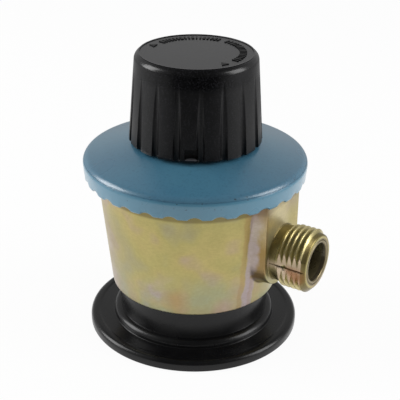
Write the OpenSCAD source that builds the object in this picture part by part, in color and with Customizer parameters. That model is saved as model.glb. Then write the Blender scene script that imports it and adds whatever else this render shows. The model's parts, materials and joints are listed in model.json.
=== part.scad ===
// Clip-on low pressure gas regulator.
// Origin: centre of the cylinder valve socket's mouth, in the plane the collar stands on.
// +Z points up to the knob, +X along the outlet.

/* [Collar] */
// Diameter of the collar's flange
flange_d = 72; // [66:0.5:78]
// Thickness of the collar's flange
flange_t = 3.7; // [3:0.1:4.5]
// Radius of the flange's rounded rim, top side
flange_round = 1.2; // [0.5:0.1:1.5]
// Diameter of the rounded step above the flange
step_d = 54.4; // [53:0.2:57]
// Height of the rounded step above the flange
step_h = 1.95; // [1:0.05:3]
// Outer diameter of the collar's tube
collar_tube_d = 51.1; // [50.5:0.1:52]
// Wall of the collar's tube
collar_wall = 1.5; // [1.2:0.1:1.8]
// Height of the collar above its underside
collar_h = 22.4; // [20:0.2:23.4]
// Travel of the collar, up to release
collar_travel = 6; // [4:0.5:6]

/* [Ball lock] */
// Diameter of the cylinder valve that the socket takes
valve_d = 35; // [34:0.5:36]
// Wall of the socket tube
socket_wall = 3; // [2.8:0.1:3.2]
// Diameter of a locking ball
ball_d = 5; // [4.6:0.1:5.2]
// Height of the balls above the socket's mouth
ball_z = 10; // [9.5:0.1:10.5]
// How far a locked ball stands into the socket
ball_reach = 1.4; // [1:0.1:1.5]
// Thickness of the ring that stops the collar
ring_t = 1.2; // [0.8:0.1:1.5]
// Height of that ring above the socket's mouth
ring_z = 0.9; // [0.7:0.1:1]
// Height of the tapered sleeve's top
sleeve_top = 15; // [14.5:0.1:16]
// Wire of the collar's spring
collar_wire = 1.1; // [0.8:0.1:1.3]

/* [Casting] */
// Height of the casting's lower edge
skirt_z = 16.5; // [15:0.5:18]
// Diameter of the casting's lower edge
skirt_d = 55.9; // [55.5:0.1:58]
// Width of the casting's shelf that the cover is crimped under
shelf_w = 2.65; // [2.3:0.05:3.2]
// Height of the underside of the casting's rim
rim_z = 56.75; // [56:0.25:58]
// Thickness of the casting's rim
rim_t = 2.65; // [2:0.05:3]
// Wall of the casting round the chamber
casting_wall = 2.6; // [2:0.1:3]
// Height of the web above the spring pocket
web_z = 30; // [29.5:0.1:30.5]
// Thickness of the web
web_t = 4.2; // [3.5:0.1:5]

/* [Outlet] */
// Height of the outlet's axis
outlet_z = 35.1; // [34.5:0.1:36]
// Distance of the outlet's end from the axis
outlet_x = 46.5; // [44:0.5:50]
// Length of the thread
thread_l = 10; // [8:0.5:11]
// Chamfer at the thread's end
thread_chamfer = 1.3; // [0.8:0.1:1.5]
// Diameter of the neck between boss and thread
neck_d = 18; // [17:0.2:18.4]
// Diameter of the outlet's bore
outlet_bore_d = 12.6; // [11:0.2:13.5]
// Width of the flats along the parting line
flat_w = 6; // [4:0.5:7]
// Distance of the boss's flat face from the axis
boss_x = 33.4; // [33:0.1:34]
// Width of the boss at its face
boss_w = 22.2; // [21.5:0.1:24]
// Draft of the boss's sides, in degrees
boss_draft = 6; // [3:1:12]

/* [Cover] */
// Diameter of the cover
cover_d = 74; // [73:0.5:76]
// Thickness of the cover's sheet
cover_t = 1.75; // [1.5:0.05:1.8]
// Slope of the cover's top, in degrees
cover_slope = 16; // [12:1:17]
// Outside radius of the cover's rounded edge
cover_round = 2.6; // [2:0.1:3]
// How far the skirt's lower edge leans in
skirt_lean = 0.4; // [0:0.1:0.6]
// Diameter of the cover's level top under the knob
plateau_d = 41; // [40:0.5:43]
// Number of crimps round the cover
crimps = 30; // [24:1:36]
// Width of the bite between two crimps
bite_w = 4.6; // [3:0.1:5]
// Depth of that bite
bite_h = 1; // [0.6:0.1:1.2]

/* [Knob] */
// Diameter of the knob at its lower edge
knob_d = 43.6; // [42:0.2:44]
// Height of the knob
knob_h = 29.2; // [28:0.2:31]
// Taper of the knob's side, in degrees
knob_taper = 4.1; // [3:0.1:5]
// Radius of the knob's shoulder
knob_round = 2.4; // [1.6:0.1:3]
// Gap between the cover and the knob
knob_gap = 0.9; // [0.6:0.1:1.2]
// Wall of the knob
knob_wall = 2.2; // [1.8:0.1:2.6]
// Number of grooves round the knob
grooves = 18; // [12:1:24]
// Diameter of the cutter that makes a groove
groove_d = 2.4; // [1.6:0.1:2.6]
// Depth of a groove at the knob's lower edge
groove_depth = 1.3; // [0.8:0.1:1.4]
// Draft of a groove's bottom, in degrees
groove_draft = 1; // [0.5:0.1:1.5]
// Quarter turn of the knob, in degrees
knob_turn = 90; // [75:5:90]

/* [Inside] */
// Outside diameter of the spring housing
housing_d = 29; // [28:0.2:30]
// Wall of the spring housing
housing_wall = 1.6; // [1.5:0.1:1.8]
// Diameter of the spindle
spindle_d = 6; // [5.6:0.1:6.2]
// Stroke of the spindle over the knob's turn
spindle_stroke = 4; // [3:0.5:4]
// Width of the spindle's square head
square_w = 6; // [5.6:0.1:6.2]
// Diameter of the cross pin
cross_d = 3; // [2.6:0.1:3.2]
// Diameter of the push pin
push_d = 4; // [3.6:0.1:4.2]
// Height of the push pin's tip in the off position
push_tip_z = 21; // [20.8:0.1:22]
// Thickness of the diaphragm
diaphragm_t = 1; // [0.8:0.1:1.2]
// Thickness of the diaphragm's clamped bead
bead_t = 1.5; // [1.2:0.1:1.8]
// Distance of the lever's pivot from the axis
lever_arm = 15; // [15:0.1:15.5]
// Thickness of the lever
lever_t = 1.2; // [1:0.1:1.4]

/* [Clearances] */
// Running clearance, each side
run_clear = 0.05; // [0.02:0.01:0.1]
// Clearance of loose pieces, each side
loose_clear = 0.2; // [0.15:0.05:0.25]
// Clearance of the valve in the socket, each side
socket_clear = 0.1; // [0.05:0.01:0.15]

/* [Hidden] */
$fn = 96;
eps = 0.02;
over = 1;
arc_steps = 6;

// collar and ball lock
ball_count = 6;
first_ball = 30;
flange_r = flange_d/2;
flange_chamfer = 0.5;
step_r = step_d/2;
step_z = flange_t + step_h;
step_foot = 0.4;
step_round = 1;
tube_foot = 0.2;
tube_chamfer = 0.5;
socket_r = valve_d/2 + socket_clear;
socket_out = socket_r + socket_wall;
socket_chamfer = 0.5;
socket_roof = 3;
collar_tube_r = collar_tube_d/2;
sleeve_r = collar_tube_r - collar_wall;
ball_r = ball_d/2;
ball_hole_l = 8;
ball_locked_r = socket_r - ball_reach + ball_r;
taper_k = ball_reach/collar_travel;
taper_cos = cos(atan(taper_k));
taper_r = ball_locked_r + (ball_r + run_clear)/taper_cos;
guide_r = socket_out + 2*run_clear;
taper_top_z = ball_z + (taper_r - guide_r)/taper_k;
taper_end_z = ball_z - collar_travel;
taper_end_r = taper_r + taper_k*collar_travel;
sleeve_z = ring_z + ring_t + 2*run_clear;
ring_groove = 0.8;
ring_lap = 0.9;
ring_slot = 3;
ring_out = taper_end_r + ring_lap;
relief = 0.4;
relief_h = 6.4;

// casting
pocket_r = collar_tube_r + loose_clear;
web_top = web_z + web_t;
rim_top = rim_z + rim_t;
cover_r = cover_d/2;
skirt_fit = 0.05;
rim_r = cover_r - cover_t - skirt_fit;
cone_k = (rim_r - shelf_w - skirt_d/2)/(rim_z - skirt_z);
land_w = 4.2;
land_r = rim_r - land_w;
land_round = 1.4;
land_drop = 2.4;
neck_hole_r = 10;
neck_h = 8;
neck_top = web_z + neck_h;
post_wall = 4.5;
post_h = 7.8;
boss_top_z = web_top + post_h;
guide_low_r = 7.5;

// outlet, with a G 1/2 thread
thread_d = 20.955;
thread_x = outlet_x - thread_l;
neck_run = 0.6;
neck_foot = 1;
bore_chamfer = 0.5;
bore_back = 3.4;
boss_root = 8;
boss_inset = 0.5;
flat_start = 0.8;
flat_cut = 10;
spigot_root = 1.5;
way_r = 3.4;
way_rise = 4;
way_back = 8;
way_l = 10;

// cover
cover_edge_top = rim_top + bead_t + cover_t;
edge_in_r = cover_r - cover_round;
plateau_r = plateau_d/2;
plateau_z = cover_edge_top - cover_round*(1 - cos(cover_slope))
  + tan(cover_slope)*(edge_in_r + cover_round*sin(cover_slope) - plateau_r);
cover_low = rim_z - cover_t;
crimp_lap = 1.6;
first_crimp = 2;
inner_edge = cover_r - cover_t;
low_round = 0.9;
plateau_bend = 0.25;

// spring housing and cam
housing_r = housing_d/2;
housing_in = housing_r - housing_wall;
housing_flange_w = 3.5;
housing_flange_t = 1.5;
housing_h = 20.1;
housing_roof = 2.5;
housing_z = plateau_z - cover_t - housing_flange_t;
housing_top = plateau_z + housing_h;
cam_gap = 3.2;
cam_wall = 2.3;
cam_in = spindle_d/2 + cam_gap;
cam_out = cam_in + cam_wall;
cam_flange_w = 2;
cam_flange_t = 1.4;
cross_rise = 11.1;
cross_z = plateau_z + cross_rise;
cross_short = 0.2;
cam_drop = 10;
cam_z = cross_z - cam_drop;
slot_clear = 0.1;
slot_ease = 0.04;

// knob
knob_z = plateau_z + knob_gap;
knob_top = knob_z + knob_h;
knob_r = knob_d/2;
knob_k = tan(knob_taper);
knob_roof = knob_top - knob_wall;
knob_ring_z = cross_z;
knob_ring_t = 1.2;
knob_ring_w = 0.7;
knob_ring_slot = 2;
ring_bite = 0.9;
ring_play = 0.1;
knob_sleeve_in = housing_r + 2*run_clear;
knob_sleeve_wall = 1.8;
knob_sleeve_out = knob_sleeve_in + knob_sleeve_wall;
knob_sleeve_rise = 1.3;
hub_gap = 0.3;
hub_r = cam_in - hub_gap;
hub_rise = 4;
hub_z = cross_z + hub_rise;
hub_floor = 0.4;
ribs = 6;
rib_t = 1.2;
rib_rise = 9;
rib_sink = 0.5;
groove_at = 6.2;
window_at = -61.5;
window_w = 4.4;
window_h = 3.6;
window_lip = 1.1;
window_cut = 1.5;

// spindle, push pin and inlet
spindle_drop = 16.5;
spindle_z = plateau_z - spindle_drop;
push_sink = 4;
push_chamfer = 0.6;
spindle_collar_t = 1.4;
spindle_collar_drop = 2.4;
spindle_collar_gap = 0.6;
spindle_collar_r = cam_in - spindle_collar_gap;
square_rise = 0.4;
square_short = 1.4;
nose_r = 6;
nose_drop = 9.5;
nose_z = web_z - nose_drop;
nose_bore_r = 3.4;
nose_chamfer = 0.6;
nose_flange_w = 2.5;
nose_flange_t = 1.4;
seal_rise = 2.6;
seal_z = nose_z + seal_rise;
seal_groove_h = 2;
seal_groove_d = 1.2;
seal_cord = 0.94;
seal_sink = 0.25;
filter_h = 2;
filter_gap = 0.4;
undercut_gap = 0.3;
undercut_z = nose_z - undercut_gap;

// diaphragm, plate and hook
dia_drop = 1.7;
dia_z = rim_top - dia_drop;
plate_t = 1.2;
plate_in = 9;
plate_margin = 5;
plate_out = land_r - plate_margin;
plate_lip = 0.6;
hook_in = 8;
hook_wall = 1.2;
hook_flange_t = 1.2;
hook_plate_w = 7;
fork_w = 2.5;
fork_gap = 3.4;
fork_play = 0.3;
hook_out = hook_in + hook_wall + fork_play + fork_w;
guide_wall = 1.4;
guide_out = spindle_d/2 + guide_wall;
centre_w = 2.4;
centre_drop = 1.3;
roll_h = 1.6;
roll_w = 2.6;
roll_in = 1;
roll_ease = 0.4;
nut_rise = 0.2;
nut_h = 3.2;
nut_z = dia_z + nut_rise;
nut_top = nut_z + nut_h;

// guide tube
gland_rise = 1.2;
gland_z = neck_top + gland_rise;
gland_h = 2.2;
gland_w = 1.8;
spindle_cord = 0.88;
spindle_seal_w = 0.9;
tube_shoulder_h = 2.4;
tube_shoulder_in = 0.3;
clamp_w = 2.2;
clamp_t = 1.9;
tube_short = 1;
stop_play = 0.4;

// springs
collar_turns = 6;
return_wire = 0.9;
return_gap = 0.7;
return_turns = 8;
main_wire = 1.6;
main_gap = 1.9;
main_turns = 6;
coil_lap = 1.02;
seat_rise = 13.1;
seat_z = plateau_z + seat_rise;
seat_t = 2.4;
seat_gap = 0.5;
seat_notch_d = 3;
seat_notch_w = 2;

// lever and valve
lever_rise = 11.8;
lever_z = web_top + lever_rise;
lever_end = 1.5;
lever_tail = 2.6;
lever_side = 0.1;
lever_gap = 0.7;
lever_hub_r = 2;
pin_r = 1;
ear_r = 2.2;
ear_t = 2.4;
ear_gap = 0.6;
ear_in = hook_out + ear_gap;
valve_arm = 5;
valve_x = lever_arm + valve_arm;
pad_r = 2.6;
pad_h = 2.5;
nozzle_gap = 0.8;
nozzle_low_r = 3;
nozzle_top_r = 1.6;
nozzle_bore_r = 0.9;
nozzle_hex_r = 4.2;
nozzle_hex_h = 2.4;
valve_thread_r = 2.6;
valve_floor = 1.2;

// ---- helpers ----

// A tube from z to z + h.
module tube(r_out, r_in, z, h) {
  translate([0, 0, z]) difference() {
    cylinder(r = r_out, h = h);
    translate([0, 0, -over]) cylinder(r = r_in, h = h + 2*over);
  }
}

// A ring of round section.
module o_ring(r_mid, r_cord, z) {
  translate([0, 0, z]) rotate_extrude() translate([r_mid, 0]) circle(r = r_cord, $fn = 32);
}

// Points of an arc, both ends included.
function arc(c, r, a0, a1, n = arc_steps) =
  [for (i = [0:n]) let(a = a0 + (a1 - a0)*i/n) c + r*[cos(a), sin(a)]];

// Height along a coil: one dead turn at each end, an even pitch between them.
function coil_z(t, turns, z0, z1, wire) =
  let(lo = z0 + wire/2, hi = z1 - wire/2, lap = wire*coil_lap)
  t < 1 ? lo + t*lap
  : t > turns - 1 ? hi - (turns - t)*lap
  : lo + lap + (hi - lo - 2*lap)*(t - 1)/(turns - 2);

// A compression spring between z0 and z1.
module coil_spring(r_mid, wire, z0, z1, turns, per_turn = 20, sides = 8) {
  steps = turns*per_turn;
  points = [for (i = [0:steps], j = [0:sides - 1])
    let(t = i/per_turn, a = 360*t, b = 360*j/sides,
        r = r_mid + wire/2*cos(b), z = coil_z(t, turns, z0, z1, wire) + wire/2*sin(b))
    [r*cos(a), r*sin(a), z]];
  sides_faces = [for (i = [0:steps - 1], j = [0:sides - 1])
    let(k = (j + 1) % sides)
    [i*sides + j, i*sides + k, (i + 1)*sides + k, (i + 1)*sides + j]];
  first = [for (j = [0:sides - 1]) sides - 1 - j];
  last = [for (j = [0:sides - 1]) steps*sides + j];
  polyhedron(points = points, faces = concat(sides_faces, [first, last]), convexity = 10);
}

// ---- casting ----

function cone_r(z) = skirt_d/2 + cone_k*(z - skirt_z);

// Outline of the casting with its cone, rim and chamber.
module casting_profile() {
  polygon([
    [pocket_r, skirt_z], [cone_r(skirt_z), skirt_z], [cone_r(rim_z), rim_z], [rim_r, rim_z],
    [rim_r, rim_top], [land_r, rim_top],
    [land_r - land_round, rim_top - land_drop], [cone_r(web_top) - casting_wall, web_top],
    [neck_hole_r + post_wall, web_top], [neck_hole_r + post_wall, boss_top_z],
    [guide_low_r, boss_top_z], [guide_low_r, neck_top], [neck_hole_r, neck_top],
    [neck_hole_r, web_z], [pocket_r, web_z]]);
}

// The drafted pad that the outlet grows from, square to the axis at its face.
module outlet_boss() {
  depth = boss_x - land_r + boss_root;
  grow = depth*tan(boss_draft);
  w = boss_w/2;
  difference() {
    union() {
      translate([boss_x, 0, outlet_z]) rotate([0, -90, 0])
        cylinder(r1 = w, r2 = w + grow, h = depth);
      translate([0, 0, outlet_z]) linear_extrude(cover_low - outlet_z)
        polygon([[boss_x, -w], [boss_x, w], [boss_x - depth, w + grow], [boss_x - depth, -w - grow]]);
    }
    cylinder(r = pocket_r + boss_inset, h = rim_z);
    translate([0, 0, web_z + over])
      cylinder(r1 = cone_r(web_z) - casting_wall, r2 = cone_r(rim_z) - casting_wall, h = rim_z - web_z);
  }
}

// The threaded outlet: crest cylinder, undercut neck, chamfer and root fillet.
module outlet_spigot() {
  crest = thread_d/2;
  neck = neck_d/2;
  bore = outlet_bore_d/2;
  translate([0, 0, outlet_z]) rotate([0, 90, 0]) rotate_extrude()
    polygon(concat(
      [[bore, land_r - spigot_root], [neck + neck_foot, land_r - spigot_root], [neck + neck_foot, boss_x]],
      arc([neck + neck_foot, boss_x + neck_foot], neck_foot, 270, 180),
      [[neck, thread_x - neck_run], [crest, thread_x], [crest, outlet_x - thread_chamfer],
       [crest - thread_chamfer, outlet_x], [bore + bore_chamfer, outlet_x],
       [bore, outlet_x - bore_chamfer]]));
}

// Cutters for the two flats that the die's parting line leaves on the thread.
module parting_flats() {
  flat_y = sqrt(pow(thread_d/2, 2) - pow(flat_w/2, 2));
  for (side = [-1, 1])
    translate([boss_x + flat_start, side > 0 ? flat_y : -flat_y - flat_cut, outlet_z - flat_w])
      cube([outlet_x - boss_x, flat_cut, 2*flat_w]);
}

module body_casting() {
  color([0.72, 0.66, 0.42]) difference() {
    union() {
      rotate_extrude() casting_profile();
      difference() {
        union() {
          outlet_boss();
          outlet_spigot();
        }
        parting_flats();
      }
      for (side = [-1, 1]) lever_ear(side);
    }
    translate([boss_x - bore_back, 0, outlet_z]) rotate([0, 90, 0])
      cylinder(d = outlet_bore_d, h = outlet_x - boss_x + bore_back + over);
    translate([land_r - way_back, 0, web_top + way_rise]) rotate([0, 90, 0]) cylinder(r = way_r, h = way_l);
    translate([-valve_x, 0, web_z + valve_floor]) cylinder(r = valve_thread_r, h = web_t);
    translate([-lever_arm, 0, lever_z]) rotate([90, 0, 0])
      cylinder(r = pin_r, h = 2*(ear_in + ear_t), center = true);
  }
}

// An ear that carries the lever's pin.
module lever_ear(side) {
  translate([-lever_arm, side*(ear_in + ear_t/2), 0]) {
    translate([-ear_r, -ear_t/2, web_top - over]) cube([2*ear_r, ear_t, lever_z - web_top + over]);
    translate([0, 0, lever_z]) rotate([90, 0, 0]) cylinder(r = ear_r, h = ear_t, center = true);
  }
}

// ---- cover ----

module cover() {
  bite_r = (pow(bite_w/2, 2) + pow(bite_h, 2))/(2*bite_h);
  color([0.36, 0.47, 0.54]) difference() {
    rotate_extrude() cover_profile();
    for (i = [0:crimps - 1]) rotate([0, 0, first_crimp + i*360/crimps])
      translate([inner_edge - crimp_lap - over, 0, cover_low + bite_h - bite_r]) rotate([0, 90, 0])
        cylinder(r = bite_r, h = crimp_lap + cover_t + 2*over, $fn = 48);
  }
}

module cover_profile() {
  low_r = cover_r - skirt_lean;
  polygon(concat(
    [[housing_r, plateau_z], [plateau_r, plateau_z]],
    arc([edge_in_r, cover_edge_top - cover_round], cover_round, 90 - cover_slope, 0, 10),
    arc([low_r - low_round, cover_low + low_round], low_round, 0, -90),
    [[inner_edge - crimp_lap, cover_low], [inner_edge - crimp_lap, rim_z], [inner_edge, rim_z],
     [inner_edge, rim_top + bead_t], [land_r, rim_top + bead_t],
     [plateau_r - plateau_bend, plateau_z - cover_t], [housing_r, plateau_z - cover_t]]));
}

// ---- knob ----

module knob() {
  color([0.1, 0.1, 0.11]) difference() {
    union() {
      rotate_extrude() knob_profile();
      for (i = [0:ribs - 1]) rotate([0, 0, (i + 0.5)*360/ribs]) knob_rib();
    }
    knob_grooves();
    translate([0, 0, hub_z - over]) linear_extrude(knob_roof - hub_z + over - hub_floor)
      square(square_w + 2*run_clear, center = true);
    rotate([0, 0, window_at])
      translate([knob_r - knob_wall - window_cut, -window_w/2, knob_z + window_lip])
        cube([knob_wall + 2*window_cut, window_w, window_h]);
  }
}

// Half section of the knob: side, roof, inner sleeve with its ring groove, and hub.
module knob_profile() {
  side_top = knob_r - knob_k*(knob_h - knob_round);
  in_low = knob_r - knob_wall;
  in_top = in_low - knob_k*(knob_h - knob_wall);
  groove_out = knob_sleeve_in + ring_bite - ring_play;
  ring_low = knob_ring_z - ring_play;
  ring_high = knob_ring_z + knob_ring_t + ring_play;
  sleeve_low = knob_z + knob_sleeve_rise;
  polygon(concat([[in_low, knob_z], [knob_r, knob_z]],
    arc([side_top - knob_round, knob_top - knob_round], knob_round, knob_taper, 90, 10),
    [[0, knob_top], [0, hub_z], [hub_r, hub_z], [hub_r, knob_roof], [knob_sleeve_in, knob_roof],
     [knob_sleeve_in, ring_high], [groove_out, ring_high], [groove_out, ring_low],
     [knob_sleeve_in, ring_low], [knob_sleeve_in, sleeve_low], [knob_sleeve_out, sleeve_low],
     [knob_sleeve_out, knob_roof], [in_top, knob_roof]]));
}

// Grooves that stand steeper than the side, so that they run out below the shoulder.
module knob_grooves() {
  for (i = [0:grooves - 1]) rotate([0, 0, groove_at + i*360/grooves])
    translate([knob_r + groove_d/2 - groove_depth, 0, knob_z]) rotate([0, -groove_draft, 0])
      translate([0, 0, -2*over]) linear_extrude(knob_h + 4*over) circle(d = groove_d, $fn = 12);
}

module knob_rib() {
  low = knob_z + rib_rise;
  outer = knob_r - knob_k*knob_h - knob_wall + rib_sink;
  inner = knob_sleeve_out - rib_sink;
  translate([inner, -rib_t/2, low]) cube([outer - inner, rib_t, knob_roof - low + rib_sink]);
}

module knob_ring() {
  color([0.75, 0.75, 0.77]) difference() {
    tube(housing_r + knob_ring_w, housing_r - ring_bite, knob_ring_z, knob_ring_t);
    translate([housing_r - ring_bite - over, -knob_ring_slot/2, knob_ring_z - over])
      cube([knob_ring_w + ring_bite + 2*over, knob_ring_slot, knob_ring_t + 2*over]);
  }
}

// ---- collar ----

module locking_collar() {
  color([0.08, 0.08, 0.09]) rotate_extrude() polygon(concat(
    [[sleeve_r, 0], [flange_r - flange_chamfer, 0], [flange_r, flange_chamfer]],
    arc([flange_r - flange_round, flange_t - flange_round], flange_round, 0, 90),
    [[step_r + step_foot, flange_t], [step_r, flange_t + step_foot]],
    arc([step_r - step_round, step_z - step_round], step_round, 0, 90),
    [[collar_tube_r + tube_foot, step_z], [collar_tube_r, step_z + tube_foot],
     [collar_tube_r, collar_h - tube_chamfer], [collar_tube_r - tube_chamfer, collar_h],
     [sleeve_r, collar_h]]));
}

module collar_sleeve() {
  color([0.6, 0.6, 0.62]) rotate_extrude() polygon([
    [taper_end_r, sleeve_z], [sleeve_r, sleeve_z], [sleeve_r, sleeve_top], [guide_r, sleeve_top],
    [guide_r, taper_top_z], [taper_end_r, taper_end_z]]);
}

module retaining_ring() {
  color([0.7, 0.7, 0.72]) difference() {
    tube(ring_out, socket_out - ring_groove, ring_z, ring_t);
    rotate([0, 0, 90]) translate([socket_out - ring_groove - over, -ring_slot/2, ring_z - over])
      cube([ring_out - socket_out + ring_groove + 2*over, ring_slot, ring_t + 2*over]);
  }
}

// Socket for the cylinder valve: relieved at the balls, undercut beside the inlet nozzle.
module coupling_body() {
  roof_z = web_z - socket_roof;
  relief_r = socket_r + relief;
  color([0.7, 0.62, 0.42]) difference() {
    rotate_extrude() polygon([
      [socket_r, 0], [socket_out - socket_chamfer, 0], [socket_out, socket_chamfer],
      [socket_out, ring_z], [socket_out - ring_groove, ring_z],
      [socket_out - ring_groove, ring_z + ring_t], [socket_out, ring_z + ring_t],
      [socket_out, web_z], [neck_hole_r, web_z], [neck_hole_r, neck_top], [nose_r, neck_top],
      [nose_r, roof_z], [relief_r, roof_z], [relief_r, undercut_z], [socket_r, undercut_z],
      [socket_r, ball_z + relief_h/2], [relief_r, ball_z + relief_h/2],
      [relief_r, ball_z - relief_h/2], [socket_r, ball_z - relief_h/2]]);
    for (i = [0:ball_count - 1]) rotate([0, 0, first_ball + i*360/ball_count])
      translate([ball_locked_r, 0, ball_z]) rotate([0, 90, 0]) ball_seat();
  }
}

// Radial hole that holds a ball: a spherical seat inside, open outward.
module ball_seat() {
  r = ball_r + run_clear;
  rotate_extrude($fn = 48)
    polygon(concat(arc([0, 0], r, -90, 0, 16), [[r, ball_hole_l], [0, ball_hole_l]]));
}

module lock_ball(index) {
  color([0.8, 0.8, 0.82]) rotate([0, 0, first_ball + (index - 1)*360/ball_count])
    translate([ball_locked_r, 0, ball_z]) sphere(r = ball_r, $fn = 48);
}

module collar_spring() {
  mid = (guide_r + sleeve_r)/2;
  color([0.65, 0.65, 0.67])
    coil_spring(mid, collar_wire, sleeve_top + eps, web_z - eps, collar_turns, 24);
}

// ---- inlet ----

module inlet_nozzle() {
  roof_z = web_z - socket_roof;
  top = neck_top - filter_h;
  groove_r = nose_r - seal_groove_d;
  groove_low = seal_z - seal_groove_h/2;
  groove_top = seal_z + seal_groove_h/2;
  color([0.8, 0.65, 0.3]) rotate_extrude() polygon([
    [nose_bore_r, nose_z], [nose_r - nose_chamfer, nose_z], [nose_r, nose_z + nose_chamfer],
    [nose_r, groove_low], [groove_r, groove_low], [groove_r, groove_top], [nose_r, groove_top],
    [nose_r, roof_z - nose_flange_t], [nose_r + nose_flange_w, roof_z - nose_flange_t],
    [nose_r + nose_flange_w, roof_z], [nose_r, roof_z], [nose_r, top], [nose_bore_r, top]]);
}

module inlet_seal() {
  color([0.07, 0.07, 0.07]) o_ring(nose_r - seal_sink, seal_cord, seal_z);
}

module inlet_filter() {
  color([0.6, 0.5, 0.35]) tube(nose_r, push_d/2 + filter_gap, neck_top - filter_h, filter_h);
}

// ---- spindle ----

module push_pin() {
  r = push_d/2;
  length = spindle_z + push_sink - push_tip_z;
  color([0.75, 0.75, 0.77]) translate([0, 0, push_tip_z]) rotate_extrude()
    polygon([[0, 0], [r - push_chamfer, 0], [r, push_chamfer], [r, length], [0, length]]);
}

module spindle() {
  square_z = cross_z + cross_d/2 + square_rise;
  color([0.8, 0.65, 0.3]) difference() {
    union() {
      translate([0, 0, spindle_z]) cylinder(d = spindle_d, h = square_z - spindle_z + eps);
      translate([0, 0, cross_z - cross_d/2 - spindle_collar_drop])
        cylinder(r = spindle_collar_r, h = spindle_collar_t);
      translate([0, 0, square_z]) linear_extrude(knob_roof - square_short - square_z)
        square(square_w, center = true);
    }
    translate([0, 0, spindle_z - over]) cylinder(d = push_d, h = push_sink + over);
    translate([0, 0, cross_z]) rotate([90, 0, 0]) cylinder(d = cross_d, h = 2*cam_out, center = true);
  }
}

module cross_pin() {
  color([0.7, 0.7, 0.72]) translate([0, 0, cross_z]) rotate([90, 0, 0])
    cylinder(d = cross_d, h = 2*(cam_out - cross_short), center = true);
}

// Cutter for one helical slot, from the off place through the knob's turn.
module helical_slot() {
  steps = 18;
  lead = spindle_stroke/(knob_turn*PI/180);
  half = cross_d/2/cos(atan(lead/cam_in)) + slot_clear;
  r_in = cam_in - over;
  r_out = cam_out + over;
  points = [for (i = [0:steps]) let(t = i/steps, a = 90 + knob_turn*t, z = cross_z - spindle_stroke*t)
    each [[r_in*cos(a), r_in*sin(a), z - half], [r_out*cos(a), r_out*sin(a), z - half],
          [r_out*cos(a), r_out*sin(a), z + half], [r_in*cos(a), r_in*sin(a), z + half]]];
  walls = [for (i = [0:steps - 1], j = [0:3]) let(k = (j + 1) % 4)
    each [[4*i + j, 4*i + k, 4*i + 4 + k], [4*i + j, 4*i + 4 + k, 4*i + 4 + j]]];
  ends = [[3, 2, 1, 0], [4*steps, 4*steps + 1, 4*steps + 2, 4*steps + 3]];
  polyhedron(points = points, faces = concat(walls, ends), convexity = 4);
  for (t = [0, 1]) rotate([0, 0, 90 + knob_turn*t]) translate([r_in, 0, cross_z - spindle_stroke*t])
    rotate([0, 90, 0]) cylinder(r = half + slot_ease, h = r_out - r_in, $fn = 48);
}

module cam_sleeve() {
  color([0.62, 0.6, 0.58]) difference() {
    union() {
      tube(cam_out, cam_in, cam_z, housing_top - cam_z);
      tube(cam_out + cam_flange_w, cam_in, housing_top, cam_flange_t);
    }
    for (turn = [0, 180]) rotate([0, 0, turn]) helical_slot();
  }
}

module return_spring() {
  color([0.65, 0.65, 0.67]) coil_spring(guide_out + return_gap, return_wire, nut_top + eps,
    cross_z - cross_d/2 - spindle_collar_drop - eps, return_turns, 18, 6);
}

// Guide of the spindle and push pin, screwed into the post, with the gland at its foot.
module guide_tube() {
  r = spindle_d/2 + run_clear;
  low_r = push_d/2 + run_clear;
  stop_z = spindle_z - spindle_stroke - stop_play;
  shoulder_z = boss_top_z + tube_shoulder_h;
  clamp_z = dia_z - centre_drop;
  color([0.8, 0.65, 0.3]) rotate_extrude() polygon([
    [low_r, neck_top], [guide_low_r, neck_top], [guide_low_r, boss_top_z],
    [guide_low_r - tube_shoulder_in, boss_top_z], [guide_low_r - tube_shoulder_in, shoulder_z],
    [guide_out, shoulder_z], [guide_out, clamp_z - clamp_t], [guide_out + clamp_w, clamp_z - clamp_t],
    [guide_out + clamp_w, clamp_z], [guide_out, clamp_z], [guide_out, plateau_z - tube_short],
    [r, plateau_z - tube_short], [r, stop_z], [low_r, stop_z], [low_r, gland_z + gland_h],
    [low_r + gland_w, gland_z + gland_h], [low_r + gland_w, gland_z], [low_r, gland_z]]);
}

module spindle_seal() {
  color([0.07, 0.07, 0.07])
    o_ring(push_d/2 + run_clear + spindle_seal_w, spindle_cord, gland_z + gland_h/2);
}

// ---- regulator ----

module spring_housing() {
  ring_top = knob_ring_z + knob_ring_t;
  color([0.7, 0.68, 0.62]) rotate_extrude() polygon([
    [housing_in, housing_z], [housing_r + housing_flange_w, housing_z],
    [housing_r + housing_flange_w, plateau_z - cover_t], [housing_r, plateau_z - cover_t],
    [housing_r, knob_ring_z], [housing_r - ring_bite, knob_ring_z], [housing_r - ring_bite, ring_top],
    [housing_r, ring_top], [housing_r, housing_top], [cam_out, housing_top],
    [cam_out, housing_top - housing_roof], [housing_in, housing_top - housing_roof]]);
}

// Screwed seat that sets the regulating spring, with four notches for its key.
module spring_seat() {
  color([0.8, 0.65, 0.3]) difference() {
    tube(housing_in, cam_out + seat_gap, seat_z, seat_t);
    for (i = [0:3]) rotate([0, 0, 90*i]) translate([housing_in, 0, seat_z + seat_t/2])
      cube([seat_notch_d, seat_notch_w, seat_t + over], center = true);
  }
}

module regulating_spring() {
  color([0.65, 0.65, 0.67]) coil_spring(housing_in - main_gap, main_wire,
    dia_z + diaphragm_t + plate_t + eps, seat_z - eps, main_turns);
}

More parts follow.
